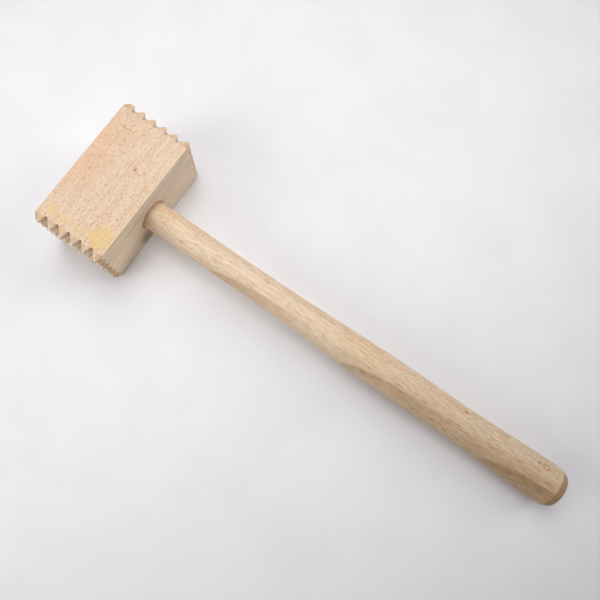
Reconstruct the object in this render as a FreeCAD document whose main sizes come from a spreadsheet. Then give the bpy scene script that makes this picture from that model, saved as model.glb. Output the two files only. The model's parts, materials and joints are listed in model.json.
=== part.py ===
import FreeCAD, Part
import math
import os
import Sketcher

# A wooden meat mallet lying on a table: a toothed hardwood head on a turned handle.
# The handle's turned tenon runs right through the head, is glued there, and is locked
# by a wedge driven into a saw kerf in its far end.
#
# Every sub-part is drawn in the head's own frame: X runs along the handle towards the
# grip, Y joins the two toothed strike faces, Z is the third side of the head, and the
# origin is the head's centre. One placement then lays the whole mallet down: the head
# stands on its long lower edge and the grip's end touches the same surface (Z = 0).

App = FreeCAD
doc = App.newDocument("meat_mallet")


# ---------------------------------------------------------------- driving dimensions

DIMENSIONS = [
    # alias, value, meaning (millimetres unless the name says otherwise)
    ("head_width", 47.0, "head, along the handle"),
    ("head_height", 48.0, "head, across the handle"),
    ("head_length", 92.0, "head, from tooth tip to tooth tip"),
    ("corner_round", 6.0, "rounding of the four upright corners of the head"),
    ("edge_round", 0.6, "rounding of the head's long edges"),
    ("tooth_pitch", 8.0, "distance between neighbouring tooth rows"),
    ("tooth_count", 6, "teeth along each side of a strike face"),
    ("groove_depth", 5.8, "depth of the V grooves between the teeth"),
    ("tip_flat", 0.8, "width of the blunt top of each tooth"),
    ("bore_dia", 18.6, "bore through the head"),
    ("tenon_dia", 18.4, "turned tenon inside the bore"),
    ("neck_dia", 18.6, "cylindrical neck of the handle"),
    ("neck_end", 90.0, "end of the neck, from the head's centre"),
    ("grip_end", 322.3, "end of the grip, from the head's centre"),
    ("end_drop", 2.0, "loss of radius along the chamfer cone at the grip's end"),
    ("end_round", 2.2, "rounding between the cone and the end face"),
    ("kerf_depth", 30.0, "depth of the saw kerf in the tenon"),
    ("kerf_mouth", 3.0, "kerf width at the tenon's end, with the wedge driven"),
    ("kerf_root", 0.8, "kerf width at its bottom"),
    ("wedge_length", 25.0, "length of the driven wedge"),
]

# The grip's outline is a cubic spline; each row is one control point past the neck:
# distance from the head's centre, radius.
GRIP_POLES = [
    ("swell_a", 115.0, 9.30),
    ("swell_b", 142.0, 9.95),
    ("swell_c", 172.0, 10.95),
    ("palm_a", 205.0, 11.85),
    ("palm_b", 238.0, 11.35),
    ("waist", 266.0, 11.30),
    ("flare", 294.0, 12.60),
    ("rim", 317.0, 12.80),
]

sheet = doc.addObject("Spreadsheet::Sheet", "Dimensions")
size = {}


def add_dimension(row, alias, value, meaning):
    """Write one driving dimension into the sheet and remember its value."""
    sheet.set("A%d" % row, meaning)
    sheet.set("B%d" % row, str(value))
    sheet.setAlias("B%d" % row, alias)
    size[alias] = value


for index, (alias, value, meaning) in enumerate(DIMENSIONS):
    add_dimension(index + 1, alias, value, meaning)
next_row = len(DIMENSIONS) + 1
for index, (alias, along, radius) in enumerate(GRIP_POLES):
    add_dimension(next_row + 2 * index, alias + "_along", along, "grip outline point, along")
    add_dimension(next_row + 2 * index + 1, alias + "_radius", radius, "grip outline point, radius")
doc.recompute()


# ------------------------------------------------------------------- sketch helpers

def origin_plane(body, role):
    """One of the body's own origin planes, such as XY_Plane."""
    for feature in body.Origin.OriginFeatures:
        if feature.Role == role:
            return feature
    raise ValueError("no origin plane " + role)


def new_body(label):
    body = doc.addObject("PartDesign::Body", label)
    body.Label = label
    return body


def new_sketch(body, name, role="XY_Plane"):
    sketch = body.newObject("Sketcher::SketchObject", name)
    sketch.AttachmentSupport = [(origin_plane(body, role), "")]
    sketch.MapMode = "FlatFace"
    return sketch


def add_polygon(sketch, points):
    """Closed polygon; returns the indices of its lines."""
    lines = []
    for start, end in zip(points, points[1:] + points[:1]):
        segment = Part.LineSegment(App.Vector(*start, 0), App.Vector(*end, 0))
        lines.append(sketch.addGeometry(segment, False))
    for line, following in zip(lines, lines[1:] + lines[:1]):
        sketch.addConstraint(Sketcher.Constraint("Coincident", line, 2, following, 1))
    return lines


def pin_point(sketch, line, point, x_value, y_value, x_formula, y_formula):
    """Place a sketch point by two dimensions from the sketch origin, each on a formula."""
    for kind, value, formula in (("X", x_value, x_formula), ("Y", y_value, y_formula)):
        if abs(value) < 1e-9:
            axis = -2 if kind == "X" else -1
            sketch.addConstraint(Sketcher.Constraint("PointOnObject", line, point, axis))
            continue
        if value > 0:
            ends = (-1, 1, line, point)
            signed = formula
        else:
            ends = (line, point, -1, 1)
            signed = "-(%s)" % formula
        constraint = sketch.addConstraint(Sketcher.Constraint("Distance" + kind, *ends, abs(value)))
        sketch.setExpression("Constraints[%d]" % constraint, signed)


def add_driven_polygon(sketch, corners):
    """Polygon whose corners are (x value, y value, x formula, y formula)."""
    lines = add_polygon(sketch, [(corner[0], corner[1]) for corner in corners])
    for line, corner in zip(lines, corners):
        pin_point(sketch, line, 1, *corner)


def add_driven_circle(sketch, diameter_alias):
    circle = Part.Circle(App.Vector(0, 0, 0), App.Vector(0, 0, 1), size[diameter_alias] / 2)
    index = sketch.addGeometry(circle, False)
    sketch.addConstraint(Sketcher.Constraint("Coincident", index, 3, -1, 1))
    constraint = sketch.addConstraint(Sketcher.Constraint("Diameter", index, size[diameter_alias]))
    sketch.setExpression("Constraints[%d]" % constraint, "Dimensions." + diameter_alias)


def cut_through(body, sketch, name):
    """Pocket that runs right through the body, both ways from the sketch plane."""
    before = body.Shape.Volume
    pocket = body.newObject("PartDesign::Pocket", name)
    pocket.Profile = sketch
    pocket.SideType = "Symmetric"
    pocket.Type = "ThroughAll"
    doc.recompute()
    check_cut(body, before, name)
    return pocket


def check_cut(body, before, name):
    if body.Shape.Volume > before - 1.0:
        raise ValueError(name + " removed nothing")


def repeat(body, feature, axis_role, length_formula, length, count, name):
    """Linear pattern of a feature along one of the body's axes, centred on the feature."""
    before = body.Shape.Volume
    pattern = body.newObject("PartDesign::LinearPattern", name)
    pattern.Originals = [feature]
    pattern.Direction = (origin_plane(body, axis_role), [""])
    pattern.Occurrences = count
    pattern.Length = length
    pattern.setExpression("Length", length_formula)
    body.Tip = pattern
    doc.recompute()
    check_cut(body, before, name)
    return pattern


# ----------------------------------------------------------------------------- head

def groove_corners(first_value, first_formula, tip_axis):
    """The V profiles of one groove at both strike faces.

    first_value is the groove's centre across the teeth. The strike axis is Y; tip_axis
    says whether Y is the sketch's first ("x") or second ("y") coordinate.
    """
    clear = 2.0
    face = size["head_length"] / 2
    half_mouth = (size["tooth_pitch"] - size["tip_flat"]) / 2
    flare = half_mouth / size["groove_depth"] * clear
    half_formula = "(Dimensions.tooth_pitch - Dimensions.tip_flat) / 2"
    flare_formula = "%s / Dimensions.groove_depth * %g" % (half_formula, clear)
    profiles = []
    for sign in (1, -1):
        face_formula = "%d * (Dimensions.head_length / 2 + %g)" % (sign, clear)
        root_formula = "%d * (Dimensions.head_length / 2 - Dimensions.groove_depth)" % sign
        corners = []
        for side in (-1, 0, 1):
            across = first_value + side * (half_mouth + flare)
            across_formula = "%s + %d * (%s + %s)" % (first_formula, side, half_formula, flare_formula)
            along = sign * (face + clear) if side else sign * (face - size["groove_depth"])
            along_formula = face_formula if side else root_formula
            if tip_axis == "y":
                corners.append((across, along, across_formula, along_formula))
            else:
                corners.append((along, across, along_formula, across_formula))
        profiles.append(corners)
    return profiles


def make_head():
    """Head block with rounded corners, grooves cut both ways over both strike faces, and a bore."""
    body = new_body("head")
    half_width = size["head_width"] / 2
    half_length = size["head_length"] / 2
    outline = new_sketch(body, "HeadOutline")
    corners = []
    for x_sign, y_sign in ((-1, -1), (1, -1), (1, 1), (-1, 1)):
        x_formula = "%d * Dimensions.head_width / 2" % x_sign
        y_formula = "%d * Dimensions.head_length / 2" % y_sign
        corners.append((x_sign * half_width, y_sign * half_length, x_formula, y_formula))
    add_driven_polygon(outline, corners)
    block = body.newObject("PartDesign::Pad", "HeadBlock")
    block.Profile = outline
    block.SideType = "Symmetric"
    block.Length = size["head_height"]
    block.setExpression("Length", "Dimensions.head_height")
    doc.recompute()

    upright = []
    for number, edge in enumerate(block.Shape.Edges, 1):
        if abs(edge.tangentAt(edge.FirstParameter).z) > 0.99:
            upright.append("Edge%d" % number)
    rounded = body.newObject("PartDesign::Fillet", "CornerRounding")
    rounded.Base = (block, upright)
    rounded.setExpression("Radius", "Dimensions.corner_round")
    doc.recompute()

    rims = []
    for number, face in enumerate(rounded.Shape.Faces, 1):
        if abs(face.CenterOfMass.z) > size["head_height"] / 2 - 0.01:
            rims.append("Face%d" % number)
    softened = body.newObject("PartDesign::Fillet", "EdgeSoftening")
    softened.Base = (rounded, rims)
    softened.setExpression("Radius", "Dimensions.edge_round")
    doc.recompute()

    pitch = size["tooth_pitch"]
    first_column = -(size["tooth_count"] / 2 - 1) * pitch
    column_formula = "-(Dimensions.tooth_count / 2 - 1) * Dimensions.tooth_pitch"
    columns = new_sketch(body, "ColumnGrooveProfile")
    for corners in groove_corners(first_column, column_formula, "y"):
        add_driven_polygon(columns, corners)
    column_groove = cut_through(body, columns, "ColumnGroove")
    gaps = int(size["tooth_count"]) - 1
    span = "(Dimensions.tooth_count - 2) * Dimensions.tooth_pitch"
    repeat(body, column_groove, "X_Axis", span, (gaps - 1) * pitch, gaps, "ColumnGrooves")

    # The row grooves include a half groove along each edge of the strike face.
    first_row = -size["tooth_count"] / 2 * pitch
    row_formula = "-Dimensions.tooth_count / 2 * Dimensions.tooth_pitch"
    rows = new_sketch(body, "RowGrooveProfile", "YZ_Plane")
    for corners in groove_corners(first_row, row_formula, "x"):
        add_driven_polygon(rows, corners)
    row_groove = cut_through(body, rows, "RowGroove")
    span = "Dimensions.tooth_count * Dimensions.tooth_pitch"
    repeat(body, row_groove, "Z_Axis", span, (gaps + 1) * pitch, gaps + 2, "RowGrooves")

    bore = new_sketch(body, "BoreProfile", "YZ_Plane")
    add_driven_circle(bore, "bore_dia")
    cut_through(body, bore, "HandleBore")
    return body


# --------------------------------------------------------------------------- handle

def make_handle():
    """Turned handle: tenon, neck, palm swell, waist and flared end, with the kerf in the tenon."""
    body = new_body("handle")
    half_width = size["head_width"] / 2
    tenon = size["tenon_dia"] / 2
    neck = size["neck_dia"] / 2
    outline = new_sketch(body, "TurnedOutline")
    far = "-Dimensions.head_width / 2"
    near = "Dimensions.head_width / 2"
    corners = [
        (-half_width, 0.0, far, "0"),
        (-half_width, tenon, far, "Dimensions.tenon_dia / 2"),
        (half_width, tenon, near, "Dimensions.tenon_dia / 2"),
        (half_width, neck, near, "Dimensions.neck_dia / 2"),
        (size["neck_end"], neck, "Dimensions.neck_end", "Dimensions.neck_dia / 2"),
    ]
    lines = []
    for start, end in zip(corners, corners[1:]):
        segment = Part.LineSegment(App.Vector(*start[:2], 0), App.Vector(*end[:2], 0))
        lines.append(outline.addGeometry(segment, False))
    for line, following in zip(lines, lines[1:]):
        outline.addConstraint(Sketcher.Constraint("Coincident", line, 2, following, 1))
    for line, corner in zip(lines, corners):
        pin_point(outline, line, 1, *corner)
    pin_point(outline, lines[-1], 2, *corners[-1])

    poles = [(size["neck_end"], neck, "Dimensions.neck_end", "Dimensions.neck_dia / 2")]
    for alias, along, radius in GRIP_POLES:
        poles.append((along, radius, "Dimensions.%s_along" % alias, "Dimensions.%s_radius" % alias))
    points = [App.Vector(pole[0], pole[1], 0) for pole in poles]
    spline = Part.BSplineCurve(points, None, None, False, 3, None, False)
    grip = outline.addGeometry(spline, False)
    for index, pole in enumerate(poles):
        marker = Part.Circle(App.Vector(pole[0], pole[1], 0), App.Vector(0, 0, 1), 1.0)
        circle = outline.addGeometry(marker, True)
        outline.addConstraint(Sketcher.Constraint("Weight", circle, 1.0))
        align = "InternalAlignment:Sketcher::BSplineControlPoint"
        outline.addConstraint(Sketcher.Constraint(align, circle, 3, grip, index))
        pin_point(outline, circle, 3, *pole)

    # Beyond the rim: a chamfer cone, then the end face, then back along the axis.
    end = size["grip_end"]
    end_radius = size["rim_radius"] - size["end_drop"]
    closing = [
        (points[-1].x, points[-1].y, "Dimensions.rim_along", "Dimensions.rim_radius"),
        (end, end_radius, "Dimensions.grip_end", "Dimensions.rim_radius - Dimensions.end_drop"),
        (end, 0.0, "Dimensions.grip_end", "0"),
        corners[0],
    ]
    previous = grip
    for start, finish in zip(closing, closing[1:]):
        segment = Part.LineSegment(App.Vector(*start[:2], 0), App.Vector(*finish[:2], 0))
        line = outline.addGeometry(segment, False)
        outline.addConstraint(Sketcher.Constraint("Coincident", previous, 2, line, 1))
        if start is not closing[0]:
            pin_point(outline, line, 1, *start)
        previous = line
    outline.addConstraint(Sketcher.Constraint("Coincident", previous, 2, lines[0], 1))
    turned = body.newObject("PartDesign::Revolution", "Turning")
    turned.Profile = outline
    turned.ReferenceAxis = (outline, ["H_Axis"])
    turned.Angle = 360
    doc.recompute()

    end_edges = []
    for number, edge in enumerate(turned.Shape.Edges, 1):
        box = edge.BoundBox
        if box.XMin > end - 0.01 and box.YLength > end_radius:
            end_edges.append("Edge%d" % number)
    rounded = body.newObject("PartDesign::Fillet", "EndRounding")
    rounded.Base = (turned, end_edges)
    rounded.setExpression("Radius", "Dimensions.end_round")
    doc.recompute()

    kerf = new_sketch(body, "KerfProfile")
    bottom = size["kerf_depth"] - half_width
    bottom_formula = "Dimensions.kerf_depth - Dimensions.head_width / 2"
    corners = []
    for x_value, x_formula, alias, sign in (
        (-half_width, far, "kerf_mouth", -1),
        (bottom, bottom_formula, "kerf_root", -1),
        (bottom, bottom_formula, "kerf_root", 1),
        (-half_width, far, "kerf_mouth", 1),
    ):
        half_formula = "%d * Dimensions.%s / 2" % (sign, alias)
        corners.append((x_value, sign * size[alias] / 2, x_formula, half_formula))
    add_driven_polygon(kerf, corners)
    cut_through(body, kerf, "WedgeKerf")
    return body


# ----------------------------------------------------------------- wedge and glue line

def add_solid(kind, name, **formulas):
    """Part primitive whose properties follow the sheet."""
    solid = doc.addObject(kind, name)
    for prop, formula in formulas.items():
        solid.setExpression(prop, formula)
    return solid


def lay_along_handle(solid):
    """Turn a cylinder onto the X axis, starting at the head's far face."""
    turn = App.Rotation(App.Vector(0, 1, 0), 90)
    solid.Placement = App.Placement(App.Vector(-size["head_width"] / 2, 0, 0), turn)
    return solid


def make_wedge():
    """Hardwood wedge that fills the kerf's mouth, trimmed flush with the tenon."""
    taper = "(Dimensions.kerf_mouth - (Dimensions.kerf_mouth - Dimensions.kerf_root)" \
            " * Dimensions.wedge_length / Dimensions.kerf_depth) / 2"
    blank = add_solid(
        "Part::Wedge", "WedgeBlank",
        Ymin="0", Ymax="Dimensions.wedge_length",
        Xmin="-Dimensions.kerf_mouth / 2", Xmax="Dimensions.kerf_mouth / 2",
        Zmin="-Dimensions.tenon_dia / 2", Zmax="Dimensions.tenon_dia / 2",
        X2min="-" + taper, X2max=taper,
        Z2min="-Dimensions.tenon_dia / 2", Z2max="Dimensions.tenon_dia / 2",
    )
    # The primitive tapers along its own Y, so it is turned to taper along the handle.
    turn = App.Rotation(App.Vector(0, 0, 1), -90)
    blank.Placement = App.Placement(App.Vector(-size["head_width"] / 2, 0, 0), turn)
    trim = lay_along_handle(add_solid(
        "Part::Cylinder", "WedgeTrim",
        Radius="Dimensions.tenon_dia / 2", Height="Dimensions.wedge_length",
    ))
    wedge = doc.addObject("Part::Common", "tenon_wedge")
    wedge.Base = blank
    wedge.Tool = trim
    wedge.Label = "tenon_wedge"
    return wedge


def make_glue_line():
    """Cured glue that fills the thin gap between the tenon and the bore."""
    outer = lay_along_handle(add_solid(
        "Part::Cylinder", "GlueOuter",
        Radius="Dimensions.bore_dia / 2", Height="Dimensions.head_width",
    ))
    inner = lay_along_handle(add_solid(
        "Part::Cylinder", "GlueInner",
        Radius="Dimensions.tenon_dia / 2", Height="Dimensions.head_width",
    ))
    glue = doc.addObject("Part::Cut", "glue_line")
    glue.Base = outer
    glue.Tool = inner
    glue.Label = "glue_line"
    return glue


# ------------------------------------------------------------------- resting placement

def resting_placement():
    """Placement that lays the mallet down on Z = 0 with the origin under its box's centre.

    Seen along Y, the head's lower near edge is a small arc and the grip's rim a sharp corner.
    The table is the tangent from that corner to the arc, so the handle dips by the angle
    found here.
    """
    edge_x = size["head_width"] / 2 - size["edge_round"]
    edge_z = -size["head_height"] / 2 + size["edge_round"]
    rim_x = size["rim_along"]
    rim_z = -size["rim_radius"]
    span = math.hypot(rim_x - edge_x, rim_z - edge_z)
    slope = math.atan2(rim_z - edge_z, rim_x - edge_x)
    dip = slope + math.asin(size["edge_round"] / span)
    turn = App.Rotation(App.Vector(0, 1, 0), math.degrees(dip))
    lift = size["edge_round"] - turn.multVec(App.Vector(edge_x, 0, edge_z)).z
    return App.Placement(App.Vector(0, 0, lift), turn)


def placed_bounds(sub_parts):
    box = App.BoundBox()
    for part in sub_parts:
        box.add(part.Shape.optimalBoundingBox(False, False))
    return box


# ------------------------------------------------------------------------------ build

sub_parts = [make_head(), make_handle(), make_wedge(), make_glue_line()]
doc.recompute()
rest = resting_placement()
for part in sub_parts:
    part.Placement = rest
doc.recompute()
bounds = placed_bounds(sub_parts)
rest.Base = rest.Base - App.Vector(bounds.Center.x, bounds.Center.y, 0)
for part in sub_parts:
    part.Placement = rest
doc.recompute()

for item in doc.Objects:
    if "Invalid" in item.State or "Error" in item.State:
        raise ValueError("%s failed: %s" % (item.Name, item.State))

os.makedirs("parts", exist_ok=True)
for part in sub_parts:
    shape = part.Shape
    if shape.isNull() or not shape.isValid():
        raise ValueError(part.Label + " has no valid shape")
    shape.exportStep("parts/%s.step" % part.Label)
    print("%s: %d solid, %.1f mm3" % (part.Label, len(shape.Solids), shape.Volume))
final = placed_bounds(sub_parts)
print("box", [round(value, 3) for value in (final.XMin, final.YMin, final.ZMin)],
      [round(value, 3) for value in (final.XMax, final.YMax, final.ZMax)])
print("dip %.3f degrees, lift %.3f" % (math.degrees(rest.Rotation.Angle), rest.Base.z))
print("head centre", [round(value, 4) for value in rest.Base])
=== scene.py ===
import json
import math

import bmesh
import bpy
import numpy as np
from mathutils import Matrix, Vector


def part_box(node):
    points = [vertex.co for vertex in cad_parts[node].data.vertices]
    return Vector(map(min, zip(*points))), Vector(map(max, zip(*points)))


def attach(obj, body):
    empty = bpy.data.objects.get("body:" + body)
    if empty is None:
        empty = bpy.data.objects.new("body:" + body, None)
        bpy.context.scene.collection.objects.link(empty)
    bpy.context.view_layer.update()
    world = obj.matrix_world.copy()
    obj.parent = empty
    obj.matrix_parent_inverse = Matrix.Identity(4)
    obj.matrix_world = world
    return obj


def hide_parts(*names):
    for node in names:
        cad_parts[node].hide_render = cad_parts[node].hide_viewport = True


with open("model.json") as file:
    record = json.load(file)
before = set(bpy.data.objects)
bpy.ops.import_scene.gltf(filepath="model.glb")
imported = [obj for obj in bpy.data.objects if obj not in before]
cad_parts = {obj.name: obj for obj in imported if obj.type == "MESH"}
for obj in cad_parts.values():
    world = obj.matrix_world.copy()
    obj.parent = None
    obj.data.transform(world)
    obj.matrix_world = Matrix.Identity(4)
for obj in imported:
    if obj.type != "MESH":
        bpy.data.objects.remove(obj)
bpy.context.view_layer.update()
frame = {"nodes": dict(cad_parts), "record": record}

# A wooden meat mallet lying on a pale table. Lengths are millimetres in the head's own
# frame (X along the handle, Y joins the two toothed faces, Z is the head's third side)
# until add_solid() turns them into metres and lays them where the CAD head lies. The table,
# the camera and the lights are placed in the row's own frame.

MM = 0.001


# ------------------------------------------------------------------ the head's frame

def head_frame():
    """The head's axes and centre in the row's frame, from the record's three flat faces."""
    mounts = {mount["name"]: mount for mount in frame["record"]["mounts"]}
    upper = mounts["upper_broad_face"]
    lower = mounts["lower_broad_face"]
    far = mounts["far_face"]
    x_axis = -Vector(far["axis"]).normalized()
    z_axis = Vector(upper["axis"]).normalized()
    y_axis = z_axis.cross(x_axis).normalized()
    centre = (Vector(upper["pos_m"]) + Vector(lower["pos_m"])) / 2
    matrix = Matrix((x_axis, y_axis, z_axis)).transposed().to_4x4()
    matrix.translation = centre
    height = (Vector(upper["pos_m"]) - Vector(lower["pos_m"])).length / MM
    half_width = (centre - Vector(far["pos_m"])).dot(x_axis) / MM
    return matrix, height / 2, half_width


HEAD_FRAME, HALF_HEIGHT, HALF_WIDTH = head_frame()
HALF_LENGTH = (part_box("head")[1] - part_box("head")[0]).y / 2 / MM

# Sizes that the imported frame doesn't carry, as the CAD model has them.
TEETH = 6
PITCH = 2 * HALF_HEIGHT / TEETH
GROOVE_DEPTH = 5.8
TIP_FLAT = 0.8
CORNER_ROUND = 6.0
EDGE_ROUND = 0.6
BORE_RADIUS = 9.3
TENON_RADIUS = 9.2
NECK_END = 90.0
GRIP_POLES = [(115.0, 9.30), (142.0, 9.95), (172.0, 10.95), (205.0, 11.85), (238.0, 11.35),
              (266.0, 11.30), (294.0, 12.60), (317.0, 12.80)]
GRIP_END = 322.3
END_DROP = 2.0
END_ROUND = 2.2
KERF_DEPTH = 30.0
KERF_MOUTH = 3.0
KERF_ROOT = 0.8

# Marks on the wood: (centre, reach along each axis, strength) of each stain and each flaw
# on the head, and (centre, inner radius, outer radius) of each knot on the handle, whose
# coordinates are across, along and up.
STAINS = [
    ((16.4, -31.8, 24.0), (9.0, 10.0, 5.0), 0.65),
    ((-16.0, -34.5, 24.0), (4.5, 5.0, 4.0), 0.4),
    ((-7.5, -34.5, 24.0), (5.0, 4.5, 4.0), 0.35),
    ((4.0, -36.0, 24.0), (4.5, 3.5, 4.0), 0.3),
]
FLAWS = [
    ((7.1, 11.9, 24.0), (0.8, 1.5, 1.0), 0.8),
    ((9.6, 10.6, 24.0), (2.8, 0.5, 1.0), 0.4),
    ((-13.4, 29.8, 24.0), (5.0, 0.4, 1.0), 0.6),
    ((-14.5, -2.0, 24.0), (0.8, 1.1, 1.0), 0.4),
    ((23.5, 38.1, 7.4), (1.5, 1.7, 0.35), 0.9),
]
KNOTS = [
    ((7.0, 249.6, 9.3), 0.0, 1.0),
    ((6.3, 300.6, 10.9), 0.0, 1.0),
    ((6.3, 305.4, 11.0), 1.2, 2.0),
]
# Not a mark on the wood: a dark area painted on the head's side, under the handle. It stands
# in for part of the handle's contact shadow, so it stays there under any light.
UNDER_HANDLE = ((23.5, -9.5, -17.0), (4.0, 9.0, 11.0), 0.65)
# Saw marks on the head's top: (centre, reach along each axis) of their area and their pitch.
SAW_AREA = ((-21.0, 5.0, 24.0), (14.0, 36.0, 8.0))
SAW_PITCH = 1.9
# Start of the handle's first darker band and the distance from one band to the next.
BAND_START = 67.0
BAND_PITCH = 101.0
BAND_TINT = (0.51, 0.37, 0.24, 1.0)
# Tint for the grip's darkening towards its end: partly wear, partly painted shade.
WEAR_AND_SHADE_TINT = (0.51, 0.42, 0.30, 1.0)


# ----------------------------------------------------------------------- mesh helpers

def add_solid(name, points, faces):
    """An object from points in millimetres in the head's frame, laid where the head lies."""
    mesh = bpy.data.meshes.new(name)
    mesh.from_pydata((np.asarray(points) * MM).tolist(), [], faces)
    mesh.transform(HEAD_FRAME)
    solid = bpy.data.objects.new(name, mesh)
    bpy.context.scene.collection.objects.link(solid)
    return solid


def add_piece(name, points, faces, material, sharp_angle=40.0):
    """A piece from points in millimetres in the head's frame, smooth except at sharp edges."""
    piece = add_solid(name, points, faces)
    bm = bmesh.new()
    bm.from_mesh(piece.data)
    bmesh.ops.remove_doubles(bm, verts=bm.verts, dist=0.002 * MM)
    bmesh.ops.recalc_face_normals(bm, faces=bm.faces)
    bm.to_mesh(piece.data)
    bm.free()
    dress(piece, material, sharp_angle)
    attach(piece, "root")
    return piece


def dress(piece, material, sharp_angle):
    """Smooth shading with sharp edges kept, and one material."""
    mesh = piece.data
    mesh.materials.clear()
    mesh.materials.append(material)
    mesh.polygons.foreach_set("use_smooth", [True] * len(mesh.polygons))
    mesh.set_sharp_from_angle(angle=math.radians(sharp_angle))


def grid(points_of_cell):
    """Points and quads of a rectangular grid; points_of_cell has shape (rows, columns, 3)."""
    rows, columns, _ = points_of_cell.shape
    quads = []
    for row in range(rows - 1):
        for column in range(columns - 1):
            first = row * columns + column
            quads.append((first, first + 1, first + columns + 1, first + columns))
    return points_of_cell.reshape(-1, 3), quads


def join_grids(grids):
    """One list of points and faces from several grids."""
    points, faces, offset = [], [], 0
    for grid_points, grid_faces in grids:
        points.append(grid_points)
        faces.extend(tuple(index + offset for index in face) for face in grid_faces)
        offset += len(grid_points)
    return np.concatenate(points), faces


def revolve(profile, segments):
    """Closed solid of revolution about X; profile rows are (along, radius) and end at radius 0."""
    turns = np.arange(segments) * 2 * math.pi / segments
    points = [(profile[0][0], 0.0, 0.0)]
    for along, radius in profile[1:-1]:
        for turn in turns:
            points.append((along, radius * math.cos(turn), radius * math.sin(turn)))
    points.append((profile[-1][0], 0.0, 0.0))
    faces = []
    rings = len(profile) - 2
    last = len(points) - 1
    for step in range(segments):
        following = (step + 1) % segments
        faces.append((0, 1 + following, 1 + step))
        for ring in range(rings - 1):
            low, high = 1 + ring * segments, 1 + (ring + 1) * segments
            faces.append((low + step, low + following, high + following, high + step))
        base = 1 + (rings - 1) * segments
        faces.append((last, base + step, base + following))
    return np.array(points), faces


def cut_away(piece, points, faces, material, sharp_angle=40.0):
    """Cut a solid, given in millimetres, out of a piece."""
    cutter = add_solid("cutter", points, faces)
    modifier = piece.modifiers.new("cut", "BOOLEAN")
    modifier.object = cutter
    modifier.operation = "DIFFERENCE"
    modifier.solver = "EXACT"
    depsgraph = bpy.context.evaluated_depsgraph_get()
    result = bpy.data.meshes.new_from_object(piece.evaluated_get(depsgraph))
    piece.modifiers.clear()
    piece.data = result
    dress(piece, material, sharp_angle)
    bpy.data.objects.remove(cutter)


# ------------------------------------------------------------------------ head shape

RIDGE_SOFTNESS = 0.9      # how widely worn ridges and tips are rounded
VALLEY_SOFTNESS = 0.14    # radius left by the cutter at a groove's bottom
COLUMN_EXTRA = 0.75       # the column grooves run this much deeper than the row grooves
CENTRE_SPREAD = 0.07      # how unevenly the grooves are spaced
DEPTH_SPREAD = 0.08       # how unevenly deep the grooves are
TIP_WEAR = 0.45           # the most that any tooth's tip is worn down
TIP_SPARE = 0.15          # added to the tips, because rounding takes about as much off
CORNER_SPARE = 0.2        # the same at the rounded upright corners


def soft_min(first, second, softness):
    """The lesser of two heights with the ridge between them rounded."""
    gap = np.maximum(softness - np.abs(first - second), 0.0) / softness
    return np.minimum(first, second) - gap * gap * softness / 4


def groove_profile(across, centres, depths):
    """Height left by a row of V grooves, as distance from the head's middle."""
    slope = GROOVE_DEPTH / ((PITCH - TIP_FLAT) / 2)
    height = None
    for centre, depth in zip(centres, depths):
        flank = HALF_LENGTH - depth + slope * np.hypot(across - centre, VALLEY_SOFTNESS)
        height = flank if height is None else soft_min(height, flank, RIDGE_SOFTNESS)
    return height


def strike_height(x, z, random):
    """Distance of a strike face from the head's middle at (x, z), teeth worn a little unevenly."""
    gaps = TEETH - 1
    column_centres = (np.arange(gaps) - (gaps - 1) / 2) * PITCH
    column_centres += random.normal(0, CENTRE_SPREAD, gaps)
    column_depths = GROOVE_DEPTH + COLUMN_EXTRA + random.normal(0, DEPTH_SPREAD, gaps)
    row_centres = (np.arange(gaps + 2) - (gaps + 1) / 2) * PITCH
    row_centres[1:-1] += random.normal(0, CENTRE_SPREAD, gaps)
    row_depths = GROOVE_DEPTH + random.normal(0, DEPTH_SPREAD, gaps + 2)
    row_depths[[0, -1]] = GROOVE_DEPTH
    worn = random.uniform(0.0, TIP_WEAR, (TEETH, TEETH))
    column = np.clip(((x + HALF_HEIGHT) / PITCH).astype(int), 0, TEETH - 1)
    row = np.clip(((z + HALF_HEIGHT) / PITCH).astype(int), 0, TEETH - 1)
    tips = HALF_LENGTH + TIP_SPARE - worn[column, row]
    teeth = soft_min(
        groove_profile(x, column_centres, column_depths),
        groove_profile(z, row_centres, row_depths),
        RIDGE_SOFTNESS,
    )
    inset = np.maximum(np.abs(x) - (HALF_WIDTH - CORNER_ROUND), 0.0)
    drop = CORNER_ROUND - np.sqrt(np.maximum(CORNER_ROUND ** 2 - inset ** 2, 0.0))
    height = soft_min(teeth, tips, RIDGE_SOFTNESS)
    height = soft_min(height, HALF_LENGTH + CORNER_SPARE - drop, RIDGE_SOFTNESS)
    return np.minimum(height, HALF_LENGTH)


def tooth_samples(first, last, steps=12):
    """Positions across the teeth, closer together at each ridge and groove bottom."""
    half_pitch = PITCH / 2
    samples = []
    for index in range(round((last - first) / half_pitch)):
        start = first + index * half_pitch
        for step in range(steps):
            samples.append(start + half_pitch * (1 - math.cos(math.pi * step / steps)) / 2)
    samples.append(last)
    return samples


def head_samples():
    """Sample positions across the head in X and in Z."""
    flat = HALF_WIDTH - CORNER_ROUND
    outer_groove = PITCH * (TEETH / 2 - 1)
    x_samples = tooth_samples(-outer_groove, outer_groove)
    corner = [outer_groove + (flat - outer_groove) * step / 4 for step in range(1, 4)]
    corner += [flat + CORNER_ROUND * math.sin(math.pi / 2 * step / 20) for step in range(21)]
    x_samples = [-value for value in reversed(corner)] + x_samples + corner
    return np.array(x_samples), np.array(tooth_samples(-HALF_HEIGHT, HALF_HEIGHT))


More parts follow.
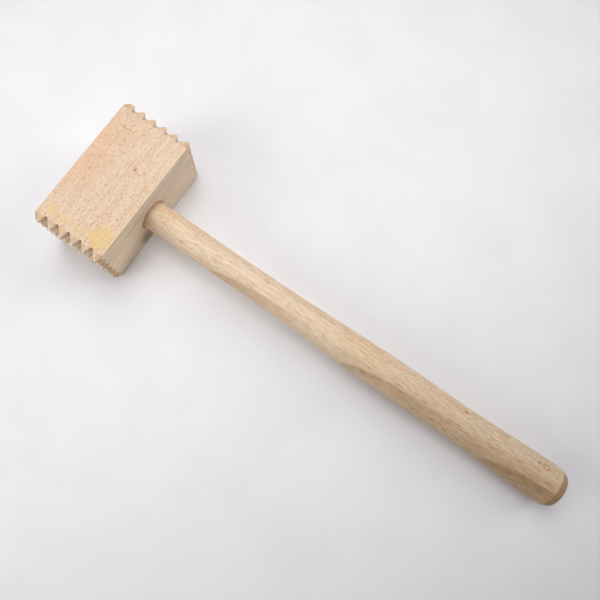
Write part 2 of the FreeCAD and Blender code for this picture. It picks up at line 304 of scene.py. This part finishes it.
def soften_long_edges(points):
    """Round the head's four long edges, which run along Y."""
    over_x = np.abs(points[:, 0]) - (HALF_WIDTH - EDGE_ROUND)
    over_z = np.abs(points[:, 2]) - (HALF_HEIGHT - EDGE_ROUND)
    corner = (over_x > 0) & (over_z > 0)
    shrink = np.maximum(over_x, over_z)[corner] / np.hypot(over_x, over_z)[corner]
    signs = np.sign(points[corner])
    points[corner, 0] = signs[:, 0] * (HALF_WIDTH - EDGE_ROUND + over_x[corner] * shrink)
    points[corner, 2] = signs[:, 2] * (HALF_HEIGHT - EDGE_ROUND + over_z[corner] * shrink)
    return points


def make_head(material):
    """Head block: two toothed faces, two broad faces, two sides and the bore."""
    x_samples, z_samples = head_samples()
    x_grid, z_grid = np.meshgrid(x_samples, z_samples, indexing="ij")
    front = strike_height(x_grid, z_grid, np.random.default_rng(7))
    back = -strike_height(x_grid, z_grid, np.random.default_rng(8))
    grids = []
    for height in (front, back):
        grids.append(grid(np.stack([x_grid, height, z_grid], axis=-1)))
    across = np.linspace(0.0, 1.0, 41)[None, :]
    for column in (0, -1):
        low, high = back[:, column][:, None], front[:, column][:, None]
        y = low + (high - low) * across
        x = np.repeat(x_samples[:, None], across.size, axis=1)
        z = np.full_like(y, z_samples[column])
        grids.append(grid(np.stack([x, y, z], axis=-1)))
    for row in (0, -1):
        low, high = back[row, :][:, None], front[row, :][:, None]
        y = low + (high - low) * across
        z = np.repeat(z_samples[:, None], across.size, axis=1)
        x = np.full_like(y, x_samples[row])
        grids.append(grid(np.stack([x, y, z], axis=-1)))
    points, faces = join_grids(grids)
    piece = add_piece("mallet_head", soften_long_edges(points), faces, material)
    mouth = 0.35
    clear = 3.0
    bore = [
        (-HALF_WIDTH - clear, 0.0), (-HALF_WIDTH - clear, BORE_RADIUS),
        (HALF_WIDTH - mouth, BORE_RADIUS), (HALF_WIDTH, BORE_RADIUS + mouth),
        (HALF_WIDTH + clear, BORE_RADIUS + mouth), (HALF_WIDTH + clear, 0.0),
    ]
    cut_away(piece, *revolve(bore, 96), material)
    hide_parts("head")


# ---------------------------------------------------------------------- handle shape

def spline_points(poles, count, degree=3):
    """Points along a clamped uniform B-spline with the given control points."""
    poles = np.array(poles, float)
    spans = len(poles) - degree
    knots = np.concatenate([np.zeros(degree), np.linspace(0, 1, spans + 1), np.ones(degree)])
    points = []
    for value in np.linspace(0, 1, count):
        span = min(degree + int(value * spans), len(poles) - 1)
        local = poles[span - degree:span + 1].copy()
        for level in range(1, degree + 1):
            for index in range(degree, level - 1, -1):
                first = span - degree + index
                width = knots[first + degree + 1 - level] - knots[first]
                weight = (value - knots[first]) / width
                local[index] = (1 - weight) * local[index - 1] + weight * local[index]
        points.append(tuple(local[degree]))
    return points


def handle_profile():
    """Outline of the turned handle from the tenon's end to the grip's end."""
    proud = 0.1
    edge = 0.15
    start = -HALF_WIDTH - proud
    profile = [(start, 0.0)]
    profile += [(start, radius) for radius in (3.0, 6.0, TENON_RADIUS - edge)]
    profile += [(start + edge, TENON_RADIUS)]
    profile += [(along, TENON_RADIUS) for along in np.linspace(start + 2, HALF_WIDTH - 0.5, 12)]
    profile += [(along, BORE_RADIUS) for along in np.linspace(HALF_WIDTH - 0.4, NECK_END - 1, 40)]
    profile += spline_points([(NECK_END, BORE_RADIUS)] + GRIP_POLES, 150)
    rim_along, rim_radius = GRIP_POLES[-1]
    slant = math.atan2(END_DROP, GRIP_END - rim_along)
    end_radius = rim_radius - END_DROP
    # The rounding between cone and end face starts this far back from their corner.
    setback = END_ROUND * math.tan((math.pi / 2 - slant) / 2)
    cone_end = (GRIP_END - setback * math.cos(slant), end_radius + setback * math.sin(slant))
    for share in (0.04, 0.3, 0.6):
        profile.append((rim_along + (cone_end[0] - rim_along) * share,
                        rim_radius + (cone_end[1] - rim_radius) * share))
    centre = (GRIP_END - END_ROUND, end_radius - setback)
    for step in range(9):
        angle = math.pi / 2 - slant - (math.pi / 2 - slant) * step / 8
        profile.append((centre[0] + END_ROUND * math.cos(angle),
                        centre[1] + END_ROUND * math.sin(angle)))
    profile += [(GRIP_END, radius) for radius in (6.0, 3.0)]
    profile.append((GRIP_END, 0.0))
    return profile


def make_handle(material):
    """Turned handle with the wedge's kerf cut into its tenon."""
    points, faces = revolve(handle_profile(), 144)
    piece = add_piece("mallet_handle", points, faces, material, 15.0)
    clear = 1.0
    slope = (KERF_MOUTH - KERF_ROOT) / 2 / KERF_DEPTH
    mouth_x, root_x = -HALF_WIDTH - clear, KERF_DEPTH - HALF_WIDTH
    outline = [
        (mouth_x, -KERF_MOUTH / 2 - slope * clear), (root_x, -KERF_ROOT / 2),
        (root_x, KERF_ROOT / 2), (mouth_x, KERF_MOUTH / 2 + slope * clear),
    ]
    height = TENON_RADIUS + clear
    corners = [(x, y, z) for z in (-height, height) for x, y in outline]
    sides = [(0, 1, 2, 3), (7, 6, 5, 4), (0, 4, 5, 1), (1, 5, 6, 2), (2, 6, 7, 3), (3, 7, 4, 0)]
    cut_away(piece, corners, [tuple(reversed(side)) for side in sides], material, 15.0)
    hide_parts("handle")


# -------------------------------------------------------------------------- materials

class Nodes:
    """Small helper that builds one material's node tree."""

    def __init__(self, name):
        self.material = bpy.data.materials.new(name)
        self.material.use_nodes = True
        self.tree = self.material.node_tree
        self.shader = self.tree.nodes["Principled BSDF"]

    def put(self, node, socket, value):
        target = node.inputs[socket]
        if isinstance(value, bpy.types.NodeSocket):
            self.tree.links.new(value, target)
        else:
            target.default_value = value

    def add(self, kind, inputs=None, **settings):
        node = self.tree.nodes.new("ShaderNode" + kind)
        for name, value in settings.items():
            setattr(node, name, value)
        for socket, value in (inputs or {}).items():
            self.put(node, socket, value)
        return node

    def place(self):
        """Position in the head's frame, in millimetres."""
        to_head = HEAD_FRAME.inverted()
        node = self.add("Mapping", {
            "Vector": self.add("TexCoord").outputs["Object"],
            "Location": to_head.translation / MM,
            "Rotation": to_head.to_euler(),
            "Scale": (1 / MM,) * 3,
        })
        return node.outputs[0]

    def axes(self, vector):
        """The three parts of a vector."""
        return self.add("SeparateXYZ", {0: vector}).outputs

    def math(self, operation, first, second=0.0, third=0.0):
        inputs = {0: first, 1: second}
        if operation == "MULTIPLY_ADD":
            inputs[2] = third
        return self.add("Math", inputs, operation=operation).outputs[0]

    def span(self, value, low, high, to_low=0.0, to_high=1.0):
        """value rescaled smoothly from low..high to to_low..to_high, clamped."""
        node = self.add("MapRange", {0: value, 1: low, 2: high, 3: to_low, 4: to_high})
        node.interpolation_type = "SMOOTHSTEP"
        return node.outputs[0]

    def mix(self, factor, first, second, blend="MIX"):
        node = self.add("Mix", data_type="RGBA", blend_type=blend)
        self.put(node, 0, factor)
        self.put(node, 6, first)
        self.put(node, 7, second)
        return node.outputs[2]

    def scaled(self, vector, scale, offset=(0.0, 0.0, 0.0)):
        """vector times scale plus offset, each by axis."""
        node = self.add("VectorMath", {0: vector, 1: scale, 2: offset}, operation="MULTIPLY_ADD")
        return node.outputs[0]

    def noise(self, vector, scale, detail=3.0, roughness=0.55, offset=(0.0, 0.0, 0.0)):
        where = self.scaled(vector, scale, offset)
        inputs = {"Vector": where, "Scale": 1.0, "Detail": detail, "Roughness": roughness}
        return self.add("TexNoise", inputs).outputs[0]

    def cells(self, vector, scale, offset):
        """On a flat sheet: distance to the nearest cell's centre and that cell's colour."""
        where = self.scaled(vector, scale, offset)
        node = self.add("TexVoronoi", {"Vector": where, "Scale": 1.0}, voronoi_dimensions="2D")
        return node.outputs["Distance"], node.outputs["Color"]


def rgb(red, green, blue):
    """Scene colour of a screen colour given as 0..255."""
    channels = []
    for value in (red, green, blue):
        value /= 255
        channels.append(value / 12.92 if value <= 0.04045 else ((value + 0.055) / 1.055) ** 2.4)
    return (*channels, 1.0)


def dashes(nodes, sheet, size, left_out, seed, reach=0.32, hollow=False):
    """Spindle marks on a sheet of (across, along) in mm, 1 inside.

    size is their spacing and reach how far they fill it. left_out is the share of places
    without a mark, and hollow ones are small rings.
    """
    scale = (1 / size[0], 1 / size[1], 0.0)
    distance, cell = nodes.cells(sheet, scale, (seed * 1.7, seed * 2.9, 0.0))
    chosen = nodes.span(nodes.add("SeparateColor", {0: cell}).outputs[0], left_out, 1.0)
    mark = nodes.span(distance, reach * 0.3, reach, 1.0, 0.0)
    if hollow:
        mark = nodes.math("MULTIPLY", mark, nodes.span(distance, reach * 0.25, reach * 0.6))
    return nodes.math("MULTIPLY", mark, chosen)


def sheet_of(nodes, across, along, place, wander_mm):
    """Flat (across, along) coordinates that wander a little, so marks aren't ruled."""
    wander = nodes.noise(place, (0.2, 0.02, 0.2), 2.0)
    bent = nodes.math("MULTIPLY_ADD", wander, wander_mm, across)
    return nodes.add("CombineXYZ", {"X": bent, "Y": along}).outputs[0]


def beech(name, grain_axis, tones, pith, ring_width, rings_show, streaks_show, wander_mm, seed):
    """Beech in three dimensions: drifting tone, growth rings round a pith and end grain.

    Returns the helper, millimetre coordinates with Y along the grain, the colour so far and
    the fine relief, so that each piece adds its own marks.
    """
    nodes = Nodes(name)
    place = nodes.place()
    if grain_axis == "X":
        x, y, z = nodes.axes(place)
        place = nodes.add("CombineXYZ", {"X": y, "Y": x, "Z": z}).outputs[0]
    shift = (seed * 3.7, seed * 1.3, seed * 5.1)

    # Slow wander, so that nothing runs dead straight.
    where = nodes.scaled(place, (0.03, 0.008, 0.03), shift)
    wander = nodes.add("TexNoise", {"Vector": where, "Scale": 1.0, "Detail": 2.0}).outputs[1]
    half_wander = wander_mm / 2
    bent = nodes.scaled(wander, (wander_mm, 0.0, wander_mm), (-half_wander, 0.0, -half_wander))
    place_bent = nodes.add("VectorMath", {0: place, 1: bent}, operation="ADD").outputs[0]

    # Growth rings: distance from the pith, one darker latewood line per ring.
    from_pith = nodes.scaled(place_bent, (1.0, 0.0, 1.0), (-pith[0], 0.0, -pith[1]))
    radius = nodes.add("VectorMath", {0: from_pith}, operation="LENGTH").outputs["Value"]
    radial = nodes.add("CombineXYZ", {"X": radius}).outputs[0]
    uneven = nodes.math("MULTIPLY", nodes.noise(radial, (0.22, 1.0, 1.0), 2.0), 2.5)
    ring = nodes.math("FRACT", nodes.math("MULTIPLY_ADD", radius, 1 / ring_width, uneven))
    late = nodes.math("MULTIPLY", nodes.span(ring, 0.4, 0.95), nodes.span(ring, 0.96, 1.0, 1.0, 0.0))

    # Base tone: broad drift, long streaks along the grain, then rings and fibres.
    drift = nodes.noise(place_bent, (0.05, 0.016, 0.05), 3.0, 0.6, shift)
    streak = nodes.noise(place_bent, (0.9, 0.03, 0.9), 3.0, 0.6, shift)
    fibre = nodes.noise(place_bent, (2.3, 0.12, 2.3), 3.0, 0.65, shift)
    colour = nodes.mix(nodes.span(drift, 0.35, 0.65), tones["pale"], tones["warm"])
    colour = nodes.mix(nodes.span(streak, 0.45, 0.75, 0.0, streaks_show), colour, tones["streak"])
    colour = nodes.mix(nodes.math("MULTIPLY", late, rings_show), colour, tones["streak"])
    colour = nodes.mix(nodes.span(fibre, 0.44, 0.64, 0.0, 0.5), colour, tones["streak"])

    # End grain, where the surface faces along the grain: darker, with fine pores.
    normal = nodes.axes(nodes.add("TexCoord").outputs["Normal"])
    end_grain = nodes.span(nodes.math("ABSOLUTE", normal[grain_axis]), 0.3, 0.8)
    pores = nodes.noise(place, (3.5, 0.4, 3.5), 2.0, 0.6, shift)
    end_colour = nodes.mix(nodes.span(pores, 0.4, 0.7), tones["end"], tones["end_dark"])
    end_colour = nodes.mix(nodes.math("MULTIPLY", late, 0.3), end_colour, tones["end_dark"])
    colour = nodes.mix(nodes.math("MULTIPLY", end_grain, 0.85), colour, end_colour)
    relief = nodes.math("MULTIPLY_ADD", fibre, 0.5, nodes.math("MULTIPLY", pores, 0.35))
    return nodes, place, colour, relief


def finish_wood(nodes, place, colour, relief, depth_mm, roughness):
    """Connect colour, relief and roughness to the shader."""
    bump = nodes.add("Bump", {"Height": relief, "Strength": 1.0, "Distance": depth_mm * MM})
    dull = nodes.noise(place, (0.3, 0.1, 0.3), 3.0)
    rough = nodes.span(dull, 0.3, 0.7, roughness - 0.06, roughness + 0.08)
    nodes.put(nodes.shader, "Base Color", colour)
    nodes.put(nodes.shader, "Roughness", rough)
    nodes.put(nodes.shader, "Normal", bump.outputs[0])
    nodes.put(nodes.shader, "Specular IOR Level", 0.3)
    return nodes.material


def reach_of(nodes, place, centre, size):
    """Distance from a point, counted in units of size along each axis."""
    scale = tuple(1 / value for value in size)
    offset = tuple(-position / value for position, value in zip(centre, size))
    moved = nodes.scaled(place, scale, offset)
    return nodes.add("VectorMath", {0: moved}, operation="LENGTH").outputs["Value"]


def head_material():
    """The head's beech, with its flecks, stains, saw marks, darker grooves, and painted light and
    shade on its sides and edges.
    """
    tones = {
        "pale": rgb(223, 199, 175), "warm": rgb(226, 203, 178), "streak": rgb(206, 168, 132),
        "fleck": rgb(180, 122, 78), "end": rgb(240, 216, 182), "end_dark": rgb(182, 142, 100),
    }
    nodes, place, colour, relief = beech(
        "head_beech", "Y", tones, pith=(-14.0, -95.0), ring_width=2.6, rings_show=0.2,
        streaks_show=0.45, wander_mm=5.0, seed=3,
    )
    x, y, z = nodes.axes(place)
    normal = nodes.axes(nodes.add("TexCoord").outputs["Normal"])

    # Ray flecks: short spindles on the broad faces, long thin streaks on the sides, which are
    # yellower towards one end; that end and the whole sides are also painted paler, as painted light.
    broad = nodes.span(nodes.math("ABSOLUTE", normal["Z"]), 0.4, 0.8)
    toothed = nodes.span(nodes.math("ABSOLUTE", normal["Y"]), 0.2, 0.45)
    side = nodes.math("SUBTRACT", 1.0, nodes.math("MAXIMUM", broad, toothed))
    top_sheet = sheet_of(nodes, x, y, place, 1.5)
    side_sheet = sheet_of(nodes, z, y, place, 1.5)
    short = nodes.math("MAXIMUM", dashes(nodes, top_sheet, (1.0, 2.4), 0.0, 1),
                       dashes(nodes, top_sheet, (1.4, 3.8), 0.3, 2))
    short = nodes.math("MULTIPLY", short, broad)
    long = nodes.math("MAXIMUM", dashes(nodes, side_sheet, (1.3, 30.0), 0.0, 3),
                      dashes(nodes, side_sheet, (2.2, 50.0), 0.2, 4))
    long = nodes.math("MULTIPLY", long, side)
    colour = nodes.mix(nodes.math("MULTIPLY", short, 0.62), colour, tones["fleck"])
    # Painted light: the sides brighter towards the near toothed face and paler all over, making up for
    # light they lack; part of the yellow is the wood's own tone.
    yellow_and_painted_light = nodes.math("MULTIPLY", side, nodes.span(y, -30.0, 5.0, 0.85, 0.0))
    colour = nodes.mix(yellow_and_painted_light, colour, rgb(252, 224, 182))
    colour = nodes.mix(nodes.math("MULTIPLY", side, 0.45), colour, rgb(243, 226, 202))
    colour = nodes.mix(nodes.math("MULTIPLY", long, 0.45), colour, rgb(150, 116, 84))

    # A thin dark ring round the bore, and the painted shadow under the handle.
    dark = rgb(112, 82, 58)
    squares = nodes.math("ADD", nodes.math("MULTIPLY", y, y), nodes.math("MULTIPLY", z, z))
    from_axis = nodes.math("SQRT", squares)
    rim = nodes.span(from_axis, BORE_RADIUS, BORE_RADIUS + 1.6, 0.6, 0.0)
    colour = nodes.mix(nodes.math("MULTIPLY", side, rim), colour, dark)
    centre, size, strength = UNDER_HANDLE
    under = nodes.span(reach_of(nodes, place, centre, size), 0.3, 1.1, strength, 0.0)
    colour = nodes.mix(nodes.math("MULTIPLY", side, under), colour, dark)

    # Saw marks left across the grain, near the top's edge that is away from the handle.
    ripple = nodes.noise(place, (0.15, 0.5, 0.15), 2.0)
    phase = nodes.math("MULTIPLY_ADD", y, 2 * math.pi / SAW_PITCH, nodes.math("MULTIPLY", ripple, 9.0))
    line = nodes.span(nodes.math("SINE", phase), 0.35, 1.0)
    patch = nodes.span(reach_of(nodes, place, *SAW_AREA), 0.3, 1.0, 1.0, 0.0)
    colour = nodes.mix(nodes.math("MULTIPLY", nodes.math("MULTIPLY", line, patch), 0.45),
                       colour, rgb(206, 150, 110))
    colour = nodes.mix(nodes.math("MULTIPLY", patch, 0.25), colour, rgb(232, 182, 150))

    # Yellowish stains near one toothed face, with ragged edges, and a few brown flaws.
    blotch = nodes.noise(place, (0.3, 0.3, 0.3), 4.0, 0.65)
    ragged = nodes.math("MULTIPLY_ADD", nodes.noise(place, (0.16, 0.16, 0.16), 3.0), 1.2, -0.6)
    for centre, size, strength in STAINS:
        off_centre = nodes.math("ADD", reach_of(nodes, place, centre, size), ragged)
        fade = nodes.span(off_centre, 0.5, 0.95, strength, 0.0)
        stain = nodes.math("MULTIPLY", fade, nodes.span(blotch, 0.32, 0.55, 0.3, 1.0))
        colour = nodes.mix(stain, colour, rgb(228, 190, 108))
    for centre, size, strength in FLAWS:
        flaw = nodes.span(reach_of(nodes, place, centre, size), 0.5, 1.1, strength, 0.0)
        colour = nodes.mix(flaw, colour, rgb(176, 112, 66))

    # A painted highlight along the rounded edges on the handle's side, and pale tooth tips; the
    # rounded corners are darker.
    from_edge = nodes.math("MINIMUM",
                           nodes.math("SUBTRACT", x, HALF_WIDTH - EDGE_ROUND),
                           nodes.math("SUBTRACT", nodes.math("ABSOLUTE", z), HALF_HEIGHT - EDGE_ROUND))
    colour = nodes.mix(nodes.span(from_edge, -0.4, 0.2, 0.0, 0.2), colour, rgb(248, 232, 212))
    reach = nodes.math("ABSOLUTE", y)
    root = HALF_LENGTH - GROOVE_DEPTH
    tip = nodes.math("MULTIPLY", nodes.span(reach, HALF_LENGTH - 2.2, HALF_LENGTH - 0.6), toothed)
    colour = nodes.mix(nodes.math("MULTIPLY", tip, 0.85), colour, rgb(252, 242, 226))
    corner = nodes.math("MULTIPLY", nodes.span(nodes.math("ABSOLUTE", x), 19.0, 22.0), toothed)
    colour = nodes.mix(nodes.math("MULTIPLY", corner, 0.5), colour, rgb(196, 148, 98))

    # The bottoms of the grooves are darker, most in those that run up the head.
    deep = nodes.math("MULTIPLY", nodes.span(reach, root - 0.2, root + 2.4, 1.0, 0.0), toothed)
    columns_show = 0.62
    height = nodes.math("ABSOLUTE", z)
    rows_show = nodes.span(height, HALF_HEIGHT - PITCH / 2, HALF_HEIGHT - 1.0, 0.4, 0.0)
    for across, strength in ((x, columns_show), (z, rows_show)):
        pitches = nodes.math("MULTIPLY_ADD", across, 1 / PITCH, 0.5)
        off_groove = nodes.math("SUBTRACT", nodes.math("FRACT", pitches), 0.5)
        near = nodes.span(nodes.math("ABSOLUTE", off_groove), 0.03, 0.22, 1.0, 0.0)
        groove_darkening = nodes.math("MULTIPLY", nodes.math("MULTIPLY", deep, near), strength)
        colour = nodes.mix(groove_darkening, colour, rgb(92, 60, 36))
    relief = nodes.math("SUBTRACT", relief, nodes.math("MULTIPLY", short, 0.4))
    return finish_wood(nodes, place, colour, relief, 0.06, 0.56)


def handle_material():
    """The handle's beech, with its dashes, eyes, darker bands, wear and painted shade, knots and glued
    collar.
    """
    tones = {
        "pale": rgb(235, 214, 188), "warm": rgb(231, 206, 174), "streak": rgb(192, 150, 110),
        "fleck": rgb(144, 96, 58), "end": rgb(160, 122, 82), "end_dark": rgb(112, 78, 48),
    }
    nodes, place, colour, relief = beech(
        "handle_beech", "X", tones, pith=(30.0, -42.0), ring_width=2.2, rings_show=0.15,
        streaks_show=0.12, wander_mm=1.2, seed=11,
    )
    across, along, up = nodes.axes(place)

    # Thin dark dashes along the grain, and a line of small eyes where the rays end.
    palm_radius = GRIP_POLES[3][1]
    turn = nodes.math("MULTIPLY", nodes.math("ARCTAN2", across, up), palm_radius)
    sheet = sheet_of(nodes, turn, along, place, 0.6)
    long = nodes.math("MAXIMUM", dashes(nodes, sheet, (0.8, 9.0), 0.4, 5, reach=0.27),
                      dashes(nodes, sheet, (1.2, 12.0), 0.6, 6, reach=0.25))
    off_line = nodes.math("ABSOLUTE", nodes.math("SUBTRACT", across, 7.2))
    eyes = nodes.math("MULTIPLY", nodes.span(off_line, 1.6, 2.8, 1.0, 0.0), nodes.span(up, 1.0, 3.0))
    plain = nodes.math("MULTIPLY_ADD", eyes, -0.75, 0.75)
    colour = nodes.mix(nodes.math("MULTIPLY", long, plain), colour, tones["fleck"])
    eye = nodes.math("MAXIMUM", dashes(nodes, sheet, (2.6, 4.6), 0.0, 7, reach=0.7, hollow=True),
                     dashes(nodes, sheet, (1.5, 2.4), 0.3, 8))
    colour = nodes.mix(nodes.math("MULTIPLY", nodes.math("MULTIPLY", eye, eyes), 0.65),
                       colour, rgb(182, 130, 92))

    # Pointed darker bands where growth rings break out along the near (-Y) side.
    since = nodes.math("MODULO", nodes.math("ADD", along, BAND_PITCH - BAND_START), BAND_PITCH)
    climb = nodes.math("EXPONENT", nodes.math("MULTIPLY", since, -1 / 20.0))
    border = nodes.math("MULTIPLY_ADD", climb, -8.0, -3.4)
    ragged = nodes.math("MULTIPLY_ADD", nodes.noise(place, (0.5, 0.06, 0.5), 3.0), 0.8, -0.4)
    below = nodes.math("SUBTRACT", nodes.math("ADD", border, ragged), across)
    band = nodes.math("MULTIPLY", nodes.span(below, -0.2, 0.4), nodes.span(below, 0.5, 6.0, 1.0, 0.25))
    fade = nodes.math("MULTIPLY", nodes.span(since, 0.0, 6.0), nodes.span(since, 35.0, 85.0, 1.0, 0.0))
    shown = nodes.span(along, 60.0, 280.0, 0.35, 0.5)
    colour = nodes.mix(nodes.math("MULTIPLY", nodes.math("MULTIPLY", band, fade), shown),
                       colour, BAND_TINT, blend="MULTIPLY")

    # The grip is painted darker towards its end, most on the near side. Besides wear, this
    # makes up for some of the light falling off along the handle, and stays under any light.
    towards_end = nodes.span(along, 120.0, 325.0)
    worn = nodes.math("MULTIPLY", towards_end, nodes.span(across, -10.0, 10.0, 0.66, 0.26))
    colour = nodes.mix(worn, colour, WEAR_AND_SHADE_TINT, blend="MULTIPLY")

    # Small knots on the upper side: two dots and one ring.
    for centre, inner, outer in KNOTS:
        reach = reach_of(nodes, place, centre, (1.0, 1.3, 1.0))
        mark = nodes.math("MULTIPLY", nodes.span(reach, inner - 0.4, inner + 0.1),
                          nodes.span(reach, outer - 0.3, outer + 0.4, 1.0, 0.0))
        colour = nodes.mix(nodes.math("MULTIPLY", mark, 0.6), colour, rgb(158, 102, 60))

    # Orange glue-darkened ring at the head, and the darker end-grain chamfer of the grip.
    collar = nodes.span(along, HALF_WIDTH, HALF_WIDTH + 3.0, 0.45, 0.0)
    colour = nodes.mix(collar, colour, rgb(196, 132, 76))
    rim = GRIP_POLES[-1][0]
    chamfer = nodes.span(along, rim - 0.15, rim + 0.15, 0.0, 0.8)
    pores = nodes.noise(place, (3.0, 0.8, 3.0), 3.0, 0.6)
    worn_end = nodes.mix(nodes.span(pores, 0.35, 0.65), rgb(190, 154, 112), rgb(146, 114, 80))
    colour = nodes.mix(chamfer, colour, worn_end)
    relief = nodes.math("SUBTRACT", relief, nodes.math("MULTIPLY", long, 0.6))
    return finish_wood(nodes, place, colour, relief, 0.06, 0.5)


def wedge_material():
    """The tenon wedge: a darker hardwood with closer rings."""
    tones = {
        "pale": rgb(176, 132, 92), "warm": rgb(160, 116, 78), "streak": rgb(126, 86, 54),
        "end": rgb(150, 108, 70), "end_dark": rgb(96, 62, 38),
    }
    nodes, place, colour, relief = beech(
        "wedge_hardwood", "X", tones, pith=(40.0, 20.0), ring_width=1.6, rings_show=0.5,
        streaks_show=0.5, wander_mm=2.0, seed=19,
    )
    return finish_wood(nodes, place, colour, relief, 0.04, 0.55)


def glue_material():
    """Cured wood glue: amber, slightly uneven."""
    nodes = Nodes("cured_glue")
    place = nodes.place()
    cloud = nodes.noise(place, (0.6, 0.6, 0.6), 4.0)
    colour = nodes.mix(nodes.span(cloud, 0.35, 0.65), rgb(150, 112, 62), rgb(112, 80, 44))
    return finish_wood(nodes, place, colour, cloud, 0.03, 0.45)


def table_material():
    """Plain pale table top with the faintest mottling."""
    nodes = Nodes("pale_table")
    place = nodes.place()
    cloud = nodes.noise(place, (0.02, 0.02, 0.02), 3.0)
    colour = nodes.mix(nodes.span(cloud, 0.3, 0.7), rgb(232, 231, 234), rgb(236, 235, 238))
    nodes.put(nodes.shader, "Base Color", colour)
    nodes.put(nodes.shader, "Roughness", 0.7)
    nodes.put(nodes.shader, "Specular IOR Level", 0.2)
    return nodes.material


# ------------------------------------------------------------------- stage and camera

def make_table(material):
    """Flat table top under the mallet."""
    half = 3.0
    mesh = bpy.data.meshes.new("table_top")
    corners = [(-half, -half, 0.0), (half, -half, 0.0), (half, half, 0.0), (-half, half, 0.0)]
    mesh.from_pydata(corners, [], [(0, 1, 2, 3)])
    mesh.materials.append(material)
    table = bpy.data.objects.new("table_top", mesh)
    bpy.context.scene.collection.objects.link(table)


def aim(location, target, up_hint):
    """Matrix of a camera or light at location that looks at target."""
    view = (target - location).normalized()
    right = view.cross(up_hint).normalized()
    up = right.cross(view)
    matrix = Matrix((right, up, -view)).transposed().to_4x4()
    matrix.translation = location
    return matrix


def make_camera():
    """Camera nearly straight above the mallet, a little to its near (-Y) side."""
    data = bpy.data.cameras.new("camera")
    data.lens = 33.6
    data.sensor_width = 36.0
    data.clip_start = 0.01
    camera = bpy.data.objects.new("camera", data)
    bpy.context.scene.collection.objects.link(camera)
    location = Vector((5.84, -55.36, 360.34)) * MM
    target = Vector((-21.26, 11.46, 0.0)) * MM
    up_hint = Vector((-0.557, 0.808, 0.192))
    camera.matrix_world = aim(location, target, up_hint)
    bpy.context.scene.camera = camera


# Soft lights: (name, azimuth, elevation, distance in metres, watts, spread), angles in
# degrees. Those with a full spread are aimed at the middle of the mallet, the others at the
# table just past the head's far toothed face.
LIGHTS = [
    ("overhead", 0, 90, 0.9, 0.77, 90),
    ("near_side", 270, 30, 0.9, 0.13, 70),
    ("far_side", 45, 30, 0.9, 0.48, 70),
    ("head_near", 225, 30, 0.8, 2.00, 180),
    ("head_far", 135, 60, 0.8, 1.90, 180),
]
FULL_SPREAD = 180
LIGHT_SIZE = 0.5
SURROUND = 0.12


def make_lights():
    """Broad soft lights, strongest at the head's end, in a dim even surround."""
    past_head = Vector((HEAD_FRAME.translation.x, 0.05, 0.0))
    middle = Vector((0.0, 0.0, 0.0))
    up_hint = Vector((0.0, 1.0, 0.1))
    for name, azimuth, elevation, distance, watts, spread in LIGHTS:
        turn, rise = math.radians(azimuth), math.radians(elevation)
        level = math.cos(rise)
        away = Vector((math.cos(turn) * level, math.sin(turn) * level, math.sin(rise)))
        target = past_head if spread < FULL_SPREAD else middle
        data = bpy.data.lights.new(name, "AREA")
        data.shape = "DISK"
        data.size = LIGHT_SIZE
        data.energy = watts
        data.spread = math.radians(spread)
        light = bpy.data.objects.new(name, data)
        bpy.context.scene.collection.objects.link(light)
        light.matrix_world = aim(target + away * distance, target, up_hint)
    world = bpy.data.worlds.new("studio")
    bpy.context.scene.world = world
    world.use_nodes = True
    surround = world.node_tree.nodes["Background"]
    surround.inputs["Color"].default_value = (1.0, 1.0, 1.0, 1.0)
    surround.inputs["Strength"].default_value = SURROUND
    bpy.context.scene.view_settings.view_transform = "Standard"


# ------------------------------------------------------------------------------ build

make_camera()
make_lights()
make_table(table_material())
make_head(head_material())
make_handle(handle_material())
for node_name, make_material in (("tenon_wedge", wedge_material), ("glue_line", glue_material)):
    frame["nodes"][node_name].material_slots[0].material = make_material()
